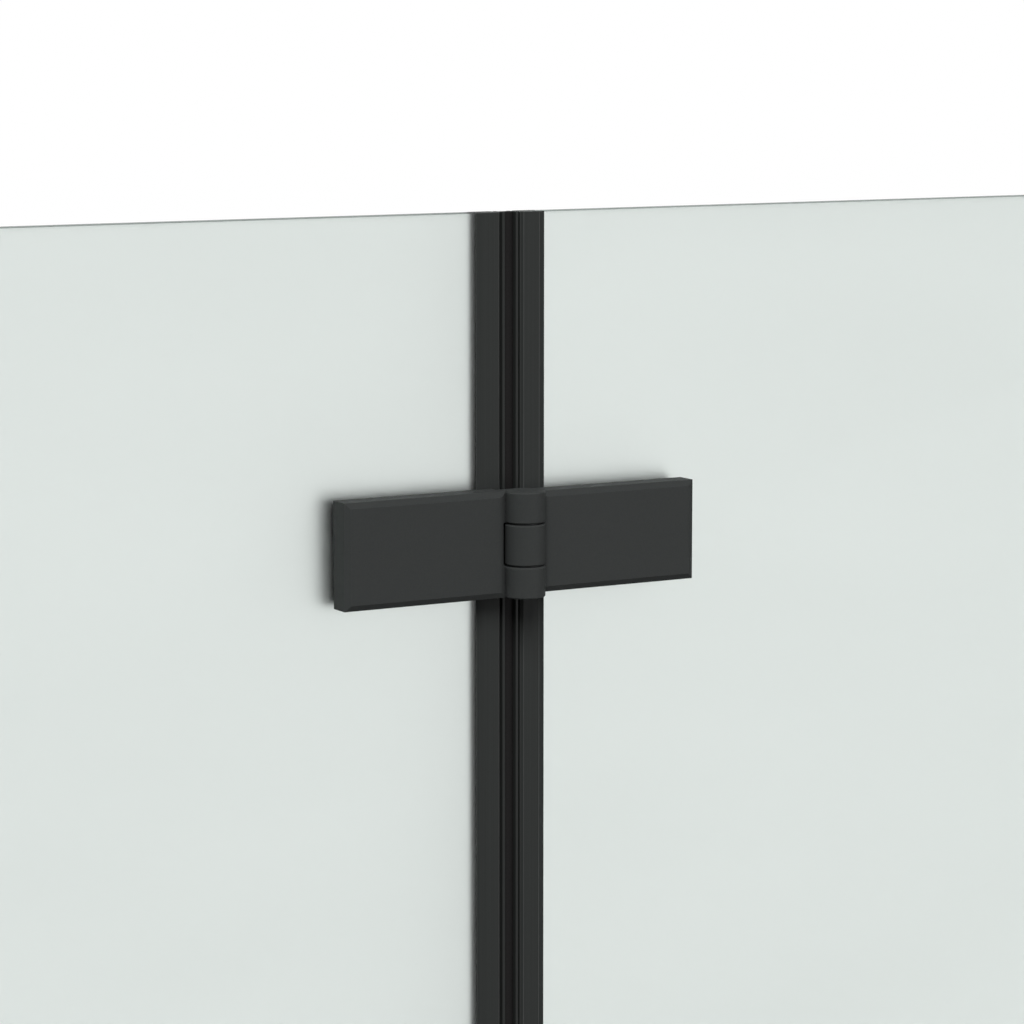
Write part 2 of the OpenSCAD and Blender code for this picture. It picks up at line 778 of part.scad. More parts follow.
module hinge_bush() {
    end = knuckle_z - seam;
    color(nylon_black) translate([0, axis_y, 0]) ring(bush_bore_r - fit, hinge_pin_r + fit, -end, end);
}

// ---- nodes ----

wall_channel();
adjusting_profile();
top_cap();
at_upper_bracket() pivot_bracket();  // upper_pivot_bracket
at_lower_bracket() pivot_bracket();  // lower_pivot_bracket
at_upper_bracket() pivot_pin();  // upper_pivot_pin
at_lower_bracket() pivot_pin();  // lower_pivot_pin
bracket_screws();
lock_screws();
lock_screw_caps();
pivot_seal_beads();

glass_carrier();
glazing_gasket();
translate([0, 0, glass_z1 + bush_flange_t + fit]) mirror([0, 0, 1]) pivot_bush();  // upper_pivot_bush
translate([0, 0, glass_z0 - bush_flange_t - fit]) pivot_bush();  // lower_pivot_bush
inner_glass();
edge_profile(-1);  // inner_edge_profile
inner_joint_seal();
bottom_seal(inner_seal_x0, inner_seal_x1);  // inner_bottom_seal

outer_glass();
edge_profile(1);  // outer_edge_profile
outer_joint_seal();
bottom_seal(outer_seal_x0, outer_seal_x1);  // outer_bottom_seal

for (i = [0, 1]) {
    prefix = i == 0 ? "upper_hinge" : "lower_hinge";
    at_hinge(i, -1) inner_leaf();
    at_hinge(i, -1) clamp_plate(inner_leaf_h);
    at_hinge(i, -1) hinge_pads(inner_leaf_h);
    at_hinge(i, -1) screw_sleeves();
    at_hinge(i, -1) clamp_screws();
    at_hinge(i, -1) hinge_pin();
    at_hinge(i, -1) pin_cap();
    at_hinge(i, -1) hinge_washers();
    at_hinge(i, 1) outer_leaf();
    at_hinge(i, 1) clamp_plate(outer_leaf_h);
    at_hinge(i, 1) hinge_pads(outer_leaf_h);
    at_hinge(i, 1) screw_sleeves();
    at_hinge(i, 1) clamp_screws();
    at_hinge(i, 1) hinge_bush();
}
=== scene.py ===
# %% [markdown]
# # A folding bath screen, seen at the middle joint
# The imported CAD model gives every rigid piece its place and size. This script
# loads that model, gives each surface the finish it has on a real screen,
# rounds the edges that a factory would break, makes the soft seals as drawn
# rubber sections, and sets up a plain studio with one camera.

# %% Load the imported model
import json
from math import pi, radians

import bmesh
import bpy
import numpy as np
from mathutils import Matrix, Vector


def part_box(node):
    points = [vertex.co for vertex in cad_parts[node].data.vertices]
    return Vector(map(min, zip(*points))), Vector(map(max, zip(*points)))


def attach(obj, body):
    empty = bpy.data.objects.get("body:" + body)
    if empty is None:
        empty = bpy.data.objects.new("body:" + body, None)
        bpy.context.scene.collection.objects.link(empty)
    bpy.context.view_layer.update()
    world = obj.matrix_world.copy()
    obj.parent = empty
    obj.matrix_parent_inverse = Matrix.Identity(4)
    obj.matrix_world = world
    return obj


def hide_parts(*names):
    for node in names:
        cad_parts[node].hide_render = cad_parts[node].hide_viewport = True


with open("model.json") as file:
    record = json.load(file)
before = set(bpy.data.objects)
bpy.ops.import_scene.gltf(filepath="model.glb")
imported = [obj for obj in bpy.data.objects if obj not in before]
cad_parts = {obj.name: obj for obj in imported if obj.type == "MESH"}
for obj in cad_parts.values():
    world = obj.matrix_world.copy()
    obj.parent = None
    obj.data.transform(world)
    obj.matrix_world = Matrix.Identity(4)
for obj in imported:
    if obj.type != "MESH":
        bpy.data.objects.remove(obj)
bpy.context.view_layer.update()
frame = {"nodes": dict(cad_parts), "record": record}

MM = 0.001
nodes = frame["nodes"]

# %% [markdown]
# ## Colour and node helpers
# Colours are picked as hex values, as on a screen, while Blender
# computes in linear light, so one function converts them. A second small
# function adds a shader node, sets its inputs by name and links it, and a
# third starts an empty material. With these three, each material below reads
# as a short list of what the surface is.


# %% Colour and node helpers
def linear(hex_colour):
    """sRGB hex to linear: c/12.92 below 0.04045, else ((c + 0.055)/1.055) to the power 2.4."""
    c = np.array([int(hex_colour[i : i + 2], 16) for i in (1, 3, 5)]) / 255
    c = np.where(c <= 0.04045, c / 12.92, ((c + 0.055) / 1.055) ** 2.4)
    return (*[float(v) for v in c], 1.0)


def add(tree, kind, settings=None, **inputs):
    """Adds one node. settings are its own properties; each input is a value or another socket."""
    made = tree.nodes.new(kind)
    for name, value in (settings or {}).items():
        setattr(made, name, value)
    for name, value in inputs.items():
        key = int(name[1:]) if name[0] == "_" else name.replace("_", " ")
        if isinstance(value, bpy.types.NodeSocket):
            tree.links.new(value, made.inputs[key])
        else:
            made.inputs[key].default_value = value
    return made


def new_material(name):
    """An empty node material and its output node."""
    mat = bpy.data.materials.new(name)
    mat.use_nodes = True
    mat.node_tree.nodes.clear()
    return mat, mat.node_tree, add(mat.node_tree, "ShaderNodeOutputMaterial")


print("black of the leaves in linear light:", [round(v, 4) for v in linear("#383a3a")[:3]])

# %% [markdown]
# ## Patterns in millimetres
# Every pattern below is noise on Object coordinates. The model is in metres,
# so a grain that repeats every w millimetres needs a scale of 1000/w. To draw
# lines that run along one axis, such as the die lines of an extruded profile,
# the coordinates are first shrunk along that axis, which stretches the noise.


# %% Patterns in millimetres
def grain(tree, size_mm, stretch=(1, 1, 1), detail=2.0):
    """Noise whose spots are size_mm across, each axis lengthened by stretch times.

    Returns its 0 to 1 socket.
    """
    where = add(tree, "ShaderNodeTexCoord").outputs["Object"]
    scaled = add(tree, "ShaderNodeMapping", Vector=where, Scale=[1 / s for s in stretch])
    noise = add(tree, "ShaderNodeTexNoise", Vector=scaled.outputs[0], Scale=1 / (size_mm * MM), Detail=detail)
    return noise.outputs["Fac"]


def between(tree, fac, low, high):
    """Maps a noise's middle range, 0.3 to 0.7, onto low to high."""
    return add(tree, "ShaderNodeMapRange", _0=fac, _1=0.3, _2=0.7, _3=low, _4=high).outputs[0]


def tones(tree, fac, dark, light):
    """Blends two hex colours by a 0 to 1 socket."""
    mix = add(tree, "ShaderNodeMix", {"data_type": "RGBA"}, _0=fac, _6=linear(dark), _7=linear(light))
    return mix.outputs[2]


def relief(tree, fac, height_mm, strength):
    """A bump of height_mm from a 0 to 1 socket. Returns the normal."""
    return add(tree, "ShaderNodeBump", Height=fac, Distance=height_mm * MM, Strength=strength).outputs[0]


print("patterns ready: grain, between, tones, relief")

# %% [markdown]
# ## Black anodised aluminium, extruded
# The channel, the adjusting profile, the glass carrier and the two profiles
# along the joint are extruded, etched and dyed black. The photograph shows a
# dead matt finish: it hardly mirrors the white room, even at a low angle. So
# the shader is led by its diffuse colour, the etch is rough, and the specular
# level is low. The die leaves faint lines along the length, under half a
# millimetre apart.


# %% Black anodised aluminium
def black_anodised_aluminium(name, dark, light):
    """Matt etched metal between two close tones, with faint die lines along Z."""
    mat, tree, out = new_material(name)
    lines = grain(tree, 0.45, stretch=(1, 1, 260))
    etch = grain(tree, 0.25, detail=1.0)
    shader = add(
        tree,
        "ShaderNodeBsdfPrincipled",
        Base_Color=tones(tree, between(tree, lines, 0, 1), dark, light),
        Roughness=between(tree, lines, 0.52, 0.60),
        IOR=1.5,
        Specular_IOR_Level=0.05,
        Normal=relief(tree, etch, 0.004, 0.35),
    )
    tree.links.new(shader.outputs[0], out.inputs[0])
    return mat


anodised = black_anodised_aluminium("black_anodised_aluminium_extruded", "#2f3130", "#333534")
# painted highlight: a paler copy of the finish for the rounded edges, drawing the bright line that a glint
# along each edge would give
anodised_painted_highlight = black_anodised_aluminium("black_anodised_aluminium_painted_highlight", "#444645", "#4c4e4d")
print("materials:", anodised.name, anodised_painted_highlight.name)

# %% [markdown]
# ## Black coated zinc, matt
# The hinge leaves and clamps are die-cast zinc with a stoved matt black coat,
# a little paler than the profiles. It levels out as it cures, so it is the
# smoothest surface here: an even charcoal with a wide soft sheen, a trace of
# orange peel some 2 mm across and a fine fleck from the matting powder. A
# paler, glossier copy of the coat on the rounded edges is a painted highlight.


# %% Black coated zinc
def black_coated_zinc(name, dark, light, rough, shine):
    """An even coat with a trace of orange peel. rough is a range, shine the specular level."""
    mat, tree, out = new_material(name)
    peel = grain(tree, 2.0, detail=1.0)
    fleck = grain(tree, 0.3, detail=1.0)
    shader = add(
        tree,
        "ShaderNodeBsdfPrincipled",
        Base_Color=tones(tree, between(tree, fleck, 0, 1), dark, light),
        Roughness=between(tree, peel, *rough),
        IOR=1.5,
        Specular_IOR_Level=shine,
        Normal=relief(tree, peel, 0.006, 0.4),
    )
    tree.links.new(shader.outputs[0], out.inputs[0])
    return mat


coated = black_coated_zinc("black_coated_zinc_matt", "#383a3a", "#3c3e3d", (0.58, 0.64), 0.05)
# painted highlight: the paler coat for the rounded edges
coated_painted_highlight = black_coated_zinc("black_coated_zinc_painted_highlight", "#4c4e4d", "#545655", (0.40, 0.46), 0.2)
print("materials:", coated.name, coated_painted_highlight.name)

# %% [markdown]
# ## Acid-etched toughened glass
# Frosted glass is clear float glass whose faces are etched dull. Light passes
# but is spread widely, so a thing that touches the back shows as a soft
# shadow and anything further off is lost. A Principled shader with full
# transmission and a high roughness does just that. Iron in the glass gives
# the faint green. The ground edges look darker, because there the eye looks
# along the pane and not through it: a mask on the Object position darkens
# the last 0.3 mm at the top and at the far end.


# %% Acid-etched glass
GLASS_IOR = 1.45
GROUND_EDGE = 0.3 * MM


def etched_glass(x_high, z_high):
    """Etched glass for one pane; its ground edge lies beyond x_high or z_high, in metres."""
    mat, tree, out = new_material("acid_etched_toughened_glass")
    where = add(tree, "ShaderNodeTexCoord").outputs["Object"]
    axes = add(tree, "ShaderNodeSeparateXYZ", Vector=where)
    over_top = add(tree, "ShaderNodeMath", {"operation": "GREATER_THAN"}, _0=axes.outputs[2], _1=z_high)
    past_end = add(tree, "ShaderNodeMath", {"operation": "GREATER_THAN"}, _0=axes.outputs[0], _1=x_high)
    at_edge = add(
        tree, "ShaderNodeMath", {"operation": "MAXIMUM"}, _0=over_top.outputs[0], _1=past_end.outputs[0]
    )
    haze = grain(tree, 60, stretch=(3, 1, 1), detail=1.0)
    etched = tones(tree, between(tree, haze, 0, 1), "#dfe5e2", "#e1e7e4")
    ground = add(
        tree, "ShaderNodeMix", {"data_type": "RGBA"}, _0=at_edge.outputs[0], _6=etched, _7=linear("#66706c")
    )
    etch = grain(tree, 0.35, detail=1.0)
    shader = add(
        tree,
        "ShaderNodeBsdfPrincipled",
        Base_Color=ground.outputs[2],
        Roughness=0.64,
        IOR=GLASS_IOR,
        Transmission_Weight=1.0,
        Specular_IOR_Level=0.2,
        Normal=relief(tree, etch, 0.002, 0.2),
    )
    tree.links.new(shader.outputs[0], out.inputs[0])
    return mat


glass_materials = {}
for pane in ("inner_glass", "outer_glass"):
    _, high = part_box(pane)
    glass_materials[pane] = etched_glass(high.x - GROUND_EDGE, high.z - GROUND_EDGE)
print("materials:", [m.name for m in glass_materials.values()])

# %% [markdown]
# ## Rubber, nylon and steel
# The seals and pads are black EPDM rubber, which is dull and a little dusty.
# The caps, brackets and bushes are moulded black nylon with a fine
# spark-eroded texture. Pins and screws are turned stainless steel. They
# differ in colour, roughness and grain, so one function takes those facts.


# %% Rubber, nylon and steel
def plain_finish(name, dark, light, rough, grain_mm, height_mm, stretch=(1, 1, 1), metal=0.0, shine=0.5):
    """Two close tones, a range of roughness and a relief, all on one grain of grain_mm.

    shine is the specular level.
    """
    mat, tree, out = new_material(name)
    spots = grain(tree, grain_mm, stretch)
    shader = add(
        tree,
        "ShaderNodeBsdfPrincipled",
        Base_Color=tones(tree, between(tree, spots, 0, 1), dark, light),
        Roughness=between(tree, spots, *rough),
        IOR=1.5,
        Metallic=metal,
        Specular_IOR_Level=shine,
        Normal=relief(tree, spots, height_mm, 0.5),
    )
    tree.links.new(shader.outputs[0], out.inputs[0])
    return mat


# EPDM: matt, with a bloom of carbon black that breaks the colour up every millimetre or so
rubber = plain_finish("black_epdm_rubber_extruded", "#1b1a1a", "#212020", (0.62, 0.72), 1.0, 0.01, shine=0.05)
# The joint seal's hard fins: PVC with faint die lines along the length, as grey as the profiles
fins_pvc = plain_finish(
    "black_rigid_pvc_extruded", "#282a29", "#2c2e2d", (0.50, 0.58), 0.4, 0.004, (1, 1, 200), shine=0.07
)
# Nylon: spark-eroded mould texture, about 0.4 mm from pit to pit
nylon = plain_finish("black_nylon_moulded", "#1e1f1f", "#242525", (0.48, 0.58), 0.4, 0.02, shine=0.25)
# Stainless steel keeps the default IOR; turning marks run round, drawn here as fine bands
steel = plain_finish(
    "stainless_steel_turned", "#989792", "#aaa8a4", (0.36, 0.46), 0.35, 0.004, (6, 6, 1), metal=1.0
)

by_slot = {
    "black_anodised_profile": anodised,
    "black_coated_hinge": coated,
    "black_rubber": rubber,
    "black_nylon": nylon,
    "stainless_steel": steel,
}
print("materials:", [m.name for m in by_slot.values()])

# %% [markdown]
# ## Which node has which finish
# The record has six material slots, and the ending of a node's name tells
# which of them it takes. The CAD nodes keep their meshes, and only their
# material slots change.

# %% Give each CAD node its finish
SLOT_ENDINGS = {
    "black_anodised_profile": ("wall_channel", "adjusting_profile", "glass_carrier", "edge_profile"),
    "black_coated_hinge": ("_leaf", "_clamp"),
    "frosted_glass": ("_glass",),
    "black_rubber": ("_beads", "gasket", "_seal", "_pads"),
    "black_nylon": ("top_cap", "_bracket", "_caps", "_sleeves", "_pin_cap", "_washers", "_bush"),
    "stainless_steel": ("_pin", "screws"),
}


def slot_name(node):
    """The record's slot of a node."""
    return next(slot for slot, ends in SLOT_ENDINGS.items() if node.endswith(ends))


def finish_of(node):
    """The material of a node."""
    return glass_materials.get(node) or by_slot[slot_name(node)]


for name, ob in nodes.items():
    ob.data.materials.clear()
    ob.data.materials.append(finish_of(name))
print({slot: sum(slot_name(n) == slot for n in nodes) for slot in SLOT_ENDINGS})

# %% [markdown]
# ## Broken edges
# No real edge is perfectly sharp: castings come out of the mould with a small
# radius, extrusions have one from the die, and glass is ground at its arris.
# Those narrow rounds catch the light and draw the thin bright lines by which
# we read an object's shape; on the metal parts a paler material on the rounds
# adds a painted highlight. A CAD node's own mesh stays as it is, so a copy is
# made: its loose triangles are joined, flat areas are merged to single faces,
# and a Bevel modifier rounds each edge that turns by more than a set angle.

# %% Broken edges
body_of = {n: b for b, members in frame["record"]["behaviour"]["bodies"].items() for n in members}
MERGE_MM = 0.002  # points closer than this are one point
FLAT_TURN = 0.3  # degrees; faces that turn by less are one face
BEVEL_SEGMENTS = 2


def softened(node, radius_mm, least_turn, edge):
    """A merged copy of a CAD node with its sharp edges rounded to radius_mm. It stands for the node.

    Edges that turn by least_turn degrees or more are rounded, and the rounds
    get the material edge, if there is one: a paler finish that paints a highlight.
    """
    mesh = nodes[node].data.copy()
    work = bmesh.new()
    work.from_mesh(mesh)
    bmesh.ops.remove_doubles(work, verts=work.verts, dist=MERGE_MM * MM)
    bmesh.ops.dissolve_limit(work, angle_limit=radians(FLAT_TURN), verts=work.verts, edges=work.edges)
    work.to_mesh(mesh)
    work.free()
    stored_normals = mesh.attributes.get("custom_normal")
    if stored_normals is not None:
        mesh.attributes.remove(stored_normals)
    mesh.shade_smooth()
    mesh.set_sharp_from_angle(angle=radians(least_turn))
    piece = bpy.data.objects.new(f"{node}_finished", mesh)
    bpy.context.scene.collection.objects.link(piece)
    bevel = piece.modifiers.new("Broken edges", "BEVEL")
    bevel.width = radius_mm * MM
    bevel.segments = BEVEL_SEGMENTS
    bevel.limit_method = "ANGLE"
    bevel.angle_limit = radians(least_turn)
    bevel.harden_normals = True
    # the paler material on the rounds is a painted highlight
    if edge:
        mesh.materials.append(edge)
        bevel.material = 1
    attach(piece, body_of[node])
    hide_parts(node)
    return piece


# the round's material, where given, is a paler finish: a painted highlight
BROKEN_EDGES = {  # name's ending: radius in mm, least turn in degrees, material of the round
    "_leaf": (0.2, 20, coated_painted_highlight),
    "_clamp": (0.3, 20, coated_painted_highlight),
    "inner_edge_profile": (0.15, 30, anodised_painted_highlight),
    "outer_edge_profile": (0.15, 12, anodised_painted_highlight),
    "wall_channel": (0.3, 30, anodised_painted_highlight),
    "adjusting_profile": (0.3, 30, anodised_painted_highlight),
    "glass_carrier": (0.3, 30, anodised_painted_highlight),
    "_glass": (0.35, 30, None),
    "_pads": (0.3, 30, None),
    "top_cap": (0.6, 30, None),
    "_pivot_bracket": (0.4, 30, None),
    "_caps": (0.3, 30, None),
    "_screws": (0.1, 30, None),
    "_pin_cap": (0.25, 30, None),
    "_washers": (0.08, 30, None),
}
rounded_nodes = [
    softened(n, *how) for n in nodes for end, how in BROKEN_EDGES.items() if n.endswith(end)
]
print(len(rounded_nodes), "pieces with broken edges, the last one", rounded_nodes[-1].name)

# %% [markdown]
# ## Outlines with rounded corners
# Every soft part here is an extrusion: one outline pressed through a die and
# cut to length. The same two steps make it. First comes an outline with its
# corners rounded, worked out as arrays.


# %% Outlines with rounded corners
def rounded(corners, radius, steps):
    """An outline's points with each corner replaced by an arc.

    At a corner with unit directions a and b towards its neighbours, the arc
    starts t = radius / tan(half the angle between a and b) from the corner,
    but never past 0.45 of the shorter side, and follows the quadratic curve
    (1-s)^2 P1 + 2s(1-s) P + s^2 P2, for s from 0 to 1.
    """
    corner = np.asarray(corners, float)
    back, ahead = np.roll(corner, 1, 0) - corner, np.roll(corner, -1, 0) - corner
    back_l, ahead_l = np.linalg.norm(back, axis=1), np.linalg.norm(ahead, axis=1)
    a, b = back / back_l[:, None], ahead / ahead_l[:, None]
    half = np.arccos(np.clip((a * b).sum(1), -1, 1)) / 2
    t = np.minimum(radius / np.tan(half), 0.45 * np.minimum(back_l, ahead_l))
    s = np.linspace(0, 1, steps + 1)[None, :, None]
    first, last = (corner + a * t[:, None])[:, None], (corner + b * t[:, None])[:, None]
    arcs = (1 - s) ** 2 * first + 2 * s * (1 - s) * corner[:, None] + s**2 * last
    return arcs.reshape(-1, 2)


print("a rounded square has", len(rounded([[0, 0], [4, 0], [4, 4], [0, 4]], 1.0, 4)), "points")

# %% [markdown]
# ## Extruded sections
# Then that outline is repeated along the length and joined by quads, with a
# flat cut face at each end. The rings along the length are a centimetre or so
# apart, so that the faces stay even.

# %% Extruded sections
RING_STEP = 12.0  # mm from ring to ring along the length
SHARP_TURN = 40  # degrees; corners that turn by less are shaded as curves


def extrusion(name, outline_mm, along, start_mm, end_mm):
    """A closed outline carried straight along an axis.

    Point (i, j) is outline point j moved to station i, a grid of stations by
    points. along is 'x', and the outline is (y, z), or 'z', and it is (x, y).
    Quads join station i to i + 1 and point j to j + 1, and two flat faces
    close the ends.
    """
    outline = np.asarray(outline_mm, float)
    count = len(outline)
    stations = np.linspace(start_mm, end_mm, int((end_mm - start_mm) / RING_STEP))
    place = np.repeat(stations, count)
    flat = np.tile(outline, (len(stations), 1))
    columns = (flat[:, 0], flat[:, 1], place) if along == "z" else (place, flat[:, 0], flat[:, 1])
    points = np.stack(columns, 1) * MM
    i, j = np.meshgrid(np.arange(len(stations) - 1), np.arange(count), indexing="ij")
    k = (j + 1) % count
    quads = np.stack([i * count + j, i * count + k, (i + 1) * count + k, (i + 1) * count + j], -1)
    ends = [list(range(count))[::-1], list(range(len(flat) - count, len(flat)))]
    mesh = bpy.data.meshes.new(name)
    mesh.from_pydata(points.tolist(), [], quads.reshape(-1, 4).tolist() + ends)
    # the sum is twice the outline's area, and below 0 where its points run clockwise
    if np.cross(outline, np.roll(outline, -1, 0)).sum() < 0:
        mesh.flip_normals()
    mesh.shade_smooth()
    mesh.set_sharp_from_angle(angle=radians(SHARP_TURN))
    piece = bpy.data.objects.new(name, mesh)
    bpy.context.scene.collection.objects.link(piece)
    return piece


def stands_for(piece, node, material):
    """Dresses a new piece, and lets it ride and stand for a CAD node."""
    piece.data.materials.append(material)
    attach(piece, body_of[node])
    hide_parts(node)
    return piece


print("rings every", RING_STEP, "mm")

# %% [markdown]
# ## The seals along the joint
# Each profile at the joint holds a seal in its groove. It is extruded in two
# hardnesses at once: a stiff part with the clip, the slot's floor and the fin
# that shows as a pale line, and on the inner panel a soft dark lip, which
# closes the gap and gives way when the panel folds. They are drawn from the
# joint's middle outwards, and turned over for the inner side.

# %% The seals along the joint
JOINT = 630.0  # mm, the joint's middle
SEAL_LOW, SEAL_HIGH = 21.5, 1386.3
# outlines as (x, y) in mm, with x from the joint's middle
stiff = [
    (2.3, -3.6), (3.5, -3.6), (3.5, -1.8), (4.35, -1.8), (4.35, -0.9), (5.1, -0.9), (5.1, -1.7), (5.9, -1.7),
    (5.9, 1.7), (5.1, 1.7), (5.1, 0.9), (4.35, 0.9), (4.35, 1.8), (3.5, 1.8), (3.5, 3.6), (2.3, 3.6),
]
lip = [(-2.15, -1.9), (0.2, -2.0), (2.35, -1.9), (2.35, 1.9), (0.2, 2.0), (-2.15, 1.9)]


def at_joint(outline, side):
    """Moves an outline from the joint's middle to its place: x = 630 + side times local x."""
    return np.asarray(outline, float) * [side, 1] + [JOINT, 0]


for side, node in ((-1, "inner_joint_seal"), (1, "outer_joint_seal")):
    outline = at_joint(rounded(stiff, 0.22, 3), side)
    stands_for(extrusion(f"{node}_fins", outline, "z", SEAL_LOW, SEAL_HIGH), node, fins_pvc)
soft = extrusion("inner_joint_seal_lip", at_joint(rounded(lip, 0.35, 3), -1), "z", SEAL_LOW, SEAL_HIGH)
stands_for(soft, "inner_joint_seal", rubber)
print("joint seals:", len(soft.data.vertices), "points in the lip")

# %% [markdown]
# ## The seals under the glass
# A clip of black rubber grips each pane's lower edge. Two fins splay
# out below it and drag along the bath's rim, and a lip on the bath side throws
# the water back. The fins are thin and slightly bowed, because they always
# rest on the rim.


# %% The seals under the glass
def bowed(start, end, bow, count=9):
    """Points on a shallow arc: the chord plus bow times 4s(1 - s) across it."""
    s = np.linspace(0, 1, count)[:, None]
    start, end = np.asarray(start, float), np.asarray(end, float)
    across = np.array([end[1] - start[1], start[0] - end[0]]) / np.linalg.norm(end - start)
    return start + (end - start) * s + across * bow * 4 * s * (1 - s)


def bottom_outline():
    """The seal's outline as (y, z) in mm, from the foot of the fin on the bath side and round."""
    right_out = bowed((6.45, 0.0), (4.25, 9.9), 0.35)
    lip_low, lip_high = bowed((4.25, 12.62), (9.35, 8.7), -0.3, 6), bowed((9.45, 9.6), (4.25, 13.8), 0.3, 6)
    wall = [(4.25, 20.9), (4.0, 21.2), (3.3, 21.2), (3.05, 20.9), (3.05, 11.1)]
    left_wall = [(-p[0], p[1]) for p in wall[::-1]]
    left_out = bowed((-4.25, 9.9), (-6.45, 0.0), 0.35)
    left_in = bowed((-5.25, 0.0), (-3.05, 9.9), -0.35)
    right_in = bowed((3.05, 9.9), (5.25, 0.0), -0.35)
    return np.concatenate([right_out, lip_low, lip_high, wall, left_wall, left_out, left_in, right_in])


for node in ("inner_bottom_seal", "outer_bottom_seal"):
    low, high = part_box(node)
    piece = extrusion(f"{node}_section", bottom_outline(), "x", low.x / MM, high.x / MM)
    stands_for(piece, node, rubber)
print("bottom seals:", len(bottom_outline()), "points in the section")

# %% [markdown]
# ## The glazing gasket and the pivot's beads
# The gasket is a U of rubber pushed in between the carrier and the glass. Only
# its two outer edges show, as a rounded black line on the glass. The beads are
# two round cords in the cove of the pivot, which the carrier turns against.

# %% The glazing gasket and the pivot's beads
gasket_low, gasket_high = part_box("glazing_gasket")
# the half of the outline on one side of the glass, as (x, y) in mm
half_gasket = [(51.05, 4.25), (65.95, 4.25), (66.08, 5.1), (66.8, 4.45), (66.8, 3.05), (52.25, 3.05)]
gasket = (half_gasket[::-1] + [(x, -y) for x, y in half_gasket])[::-1]
gasket_piece = extrusion(
    "glazing_gasket_section", rounded(gasket, 0.25, 2), "z", gasket_low.z / MM, gasket_high.z / MM
)
stands_for(gasket_piece, "glazing_gasket", rubber)

PIVOT_X = 44  # mm, the pivot's axis
BEAD_RING = 11.3  # mm from the axis to each bead
BEAD_ANGLE = radians(35)  # of each bead from the wall's direction
BEAD_RADIUS = 1.0
BEAD_POINTS = 20
bead_low, bead_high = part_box("pivot_seal_beads")
angles = np.linspace(0, 2 * pi, BEAD_POINTS, endpoint=False)
circle = np.stack([np.cos(angles), np.sin(angles)], 1) * BEAD_RADIUS
for side, name in ((-1, "pivot_seal_bead_front"), (1, "pivot_seal_bead_back")):
    middle = [PIVOT_X - BEAD_RING * np.cos(BEAD_ANGLE), side * BEAD_RING * np.sin(BEAD_ANGLE)]
    bead = extrusion(name, circle + middle, "z", bead_low.z / MM, bead_high.z / MM)
    stands_for(bead, "pivot_seal_beads", rubber)
print("gasket and beads from z", round(bead_low.z, 4), "to", round(bead_high.z, 4))

# %% [markdown]
# ## The studio's world
# The photograph has a pure white ground. The world is white to the camera, to
# reflections and to what is seen through glass, and dimmer as a light, so
# that white does not mean too much light.

# %% The world
SEEN = ("Is Camera Ray",)
MIRRORED = ("Is Glossy Ray", "Is Transmission Ray")
AMBIENT = 0.32  # the world's strength as a light, where white is 1


def ray_is(tree, kinds):
    """1 for rays of these kinds, else 0."""
    path = add(tree, "ShaderNodeLightPath")
    total = path.outputs[kinds[0]]
    for kind in kinds[1:]:
        larger = add(tree, "ShaderNodeMath", {"operation": "MAXIMUM"}, _0=total, _1=path.outputs[kind])
        total = larger.outputs[0]
    return total


world = bpy.data.worlds.new("white_studio")
bpy.context.scene.world = world
world.use_nodes = True
sky = world.node_tree
sky.nodes.clear()
level = add(sky, "ShaderNodeMapRange", _0=ray_is(sky, SEEN + MIRRORED), _3=AMBIENT, _4=1.0)
background = add(sky, "ShaderNodeBackground", Color=(1, 1, 1, 1), Strength=level.outputs[0])
sky.links.new(background.outputs[0], add(sky, "ShaderNodeOutputWorld").inputs[0])
print("world: white to the camera,", AMBIENT, "as a light")

# %% [markdown]
# ## The floor
# A pale floor takes the light and the object's shadow near the object, and
# turns to plain white further out. It sends less light up than it shows, so
# that the undersides stay dark, as in the photograph.

# %% The floor
SCREEN_MIDDLE = (0.6, 0, 0)
FADE_START, FADE_END = 2.0, 4.0  # metres from the middle to plain white
FLOOR_HALF = 60.0
FLOOR_DROP = 1.0 * MM


def floor_paint():
    """Pale matt paint for the camera, darker for light that bounces, plain white further out."""
    mat, tree, out = new_material("pale_studio_floor")
    where = add(tree, "ShaderNodeTexCoord").outputs["Object"]
    from_middle = add(tree, "ShaderNodeVectorMath", {"operation": "DISTANCE"}, _0=where, _1=SCREEN_MIDDLE)
    far = add(tree, "ShaderNodeMapRange", _0=from_middle.outputs["Value"], _1=FADE_START, _2=FADE_END)
    to_camera = ray_is(tree, SEEN)
    far_seen = add(tree, "ShaderNodeMath", {"operation": "MULTIPLY"}, _0=far.outputs[0], _1=to_camera)
    mirrored = ray_is(tree, MIRRORED)
    white = add(tree, "ShaderNodeMath", {"operation": "MAXIMUM"}, _0=far_seen.outputs[0], _1=mirrored)
    paint = add(
        tree, "ShaderNodeMix", {"data_type": "RGBA"}, _0=to_camera, _6=linear("#3c3d3c"), _7=linear("#e6e7e6")
    )
    matt = add(tree, "ShaderNodeBsdfDiffuse", Color=paint.outputs[2])
    glow = add(tree, "ShaderNodeEmission", Color=(1, 1, 1, 1), Strength=1.0)
    mixed = add(tree, "ShaderNodeMixShader", _0=white.outputs[0], _1=matt.outputs[0], _2=glow.outputs[0])
    tree.links.new(mixed.outputs[0], out.inputs[0])
    return mat


corners = np.array([[-1, -1, 0], [1, -1, 0], [1, 1, 0], [-1, 1, 0]]) * FLOOR_HALF
floor_mesh = bpy.data.meshes.new("studio_floor")
floor_mesh.from_pydata((corners - [0, 0, FLOOR_DROP]).tolist(), [], [(0, 1, 2, 3)])
floor_mesh.materials.append(floor_paint())
floor = bpy.data.objects.new("studio_floor", floor_mesh)
bpy.context.scene.collection.objects.link(floor)
print("floor", 2 * FLOOR_HALF, "m wide, white from", FADE_END, "m")

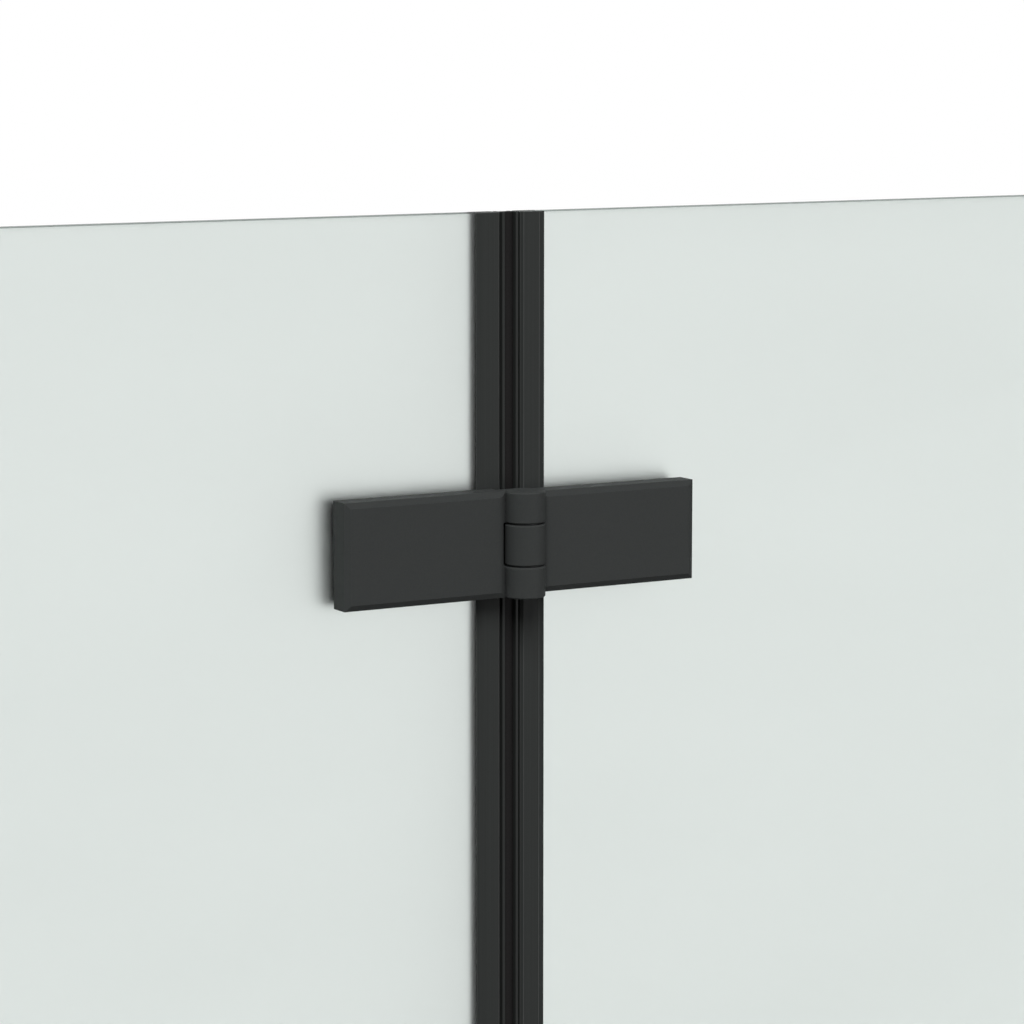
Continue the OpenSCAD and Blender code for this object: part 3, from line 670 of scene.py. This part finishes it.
# %% [markdown]
# ## The lamps
# One large softbox lights the front from the upper left and a second one the
# back. A third stands low, where the front faces would mirror it. It gives
# only sheen, which draws the soft pale band on the barrel and the chamfers.

# %% The lamps
SOFTBOX_SIDE = 2.4


def softbox(name, place, target, power, sheen=False):
    """A square area light at place, turned to target.

    It lights matt surfaces and shows in none, or with sheen only shows in
    glossy ones.
    """
    light = bpy.data.lights.new(name, "AREA")
    light.shape = "RECTANGLE"
    light.size, light.size_y = SOFTBOX_SIDE, SOFTBOX_SIDE
    light.energy = power
    lamp = bpy.data.objects.new(name, light)
    bpy.context.scene.collection.objects.link(lamp)
    lamp.visible_transmission = False
    lamp.visible_glossy = sheen
    lamp.visible_diffuse = not sheen
    lamp.location = place
    aim = np.array(target, float) - np.array(place, float)
    lamp.rotation_euler = (
        float(np.arctan2(np.hypot(aim[0], aim[1]), -aim[2])),
        0.0,
        float(np.arctan2(aim[0], -aim[1])) + pi,
    )
    return lamp


softbox("front_softbox", (-0.9, -2.95, 4.3), (0.6, 0, 1.1), 190)
softbox("sheen_softbox", (2.18, -2.75, 0.82), (0.6, 0, 1.27), 85, sheen=True)
softbox("back_softbox", (2.2, 3.4, 3.0), (0.6, 0, 0.9), 130)
print("two softboxes that light and one that gives sheen")

# %% [markdown]
# ## The camera
# The photograph looks from the left front, a little over the glass's top, with
# a long lens. Its place and turn were fitted to points whose size is known:
# the hinge's corners, the profiles along the joint and the glass's top line.

# %% The camera
CAMERA_PLACE = (-0.0351, -1.1672, 1.4594)
YAW, PITCH = radians(29.778), radians(7.924)
FOCAL_PX, IMAGE_PX, SENSOR_MM = 3573.2, 1024, 36
camera = bpy.data.cameras.new("joint_camera")
camera.sensor_width = SENSOR_MM
camera.lens = FOCAL_PX / IMAGE_PX * SENSOR_MM
view = bpy.data.objects.new("joint_camera", camera)
bpy.context.scene.collection.objects.link(view)
view.location = CAMERA_PLACE
view.rotation_euler = (pi / 2 - PITCH, 0, -YAW)
bpy.context.scene.camera = view
bpy.context.scene.view_settings.view_transform = "Standard"
print(f"lens {camera.lens:.1f} mm")
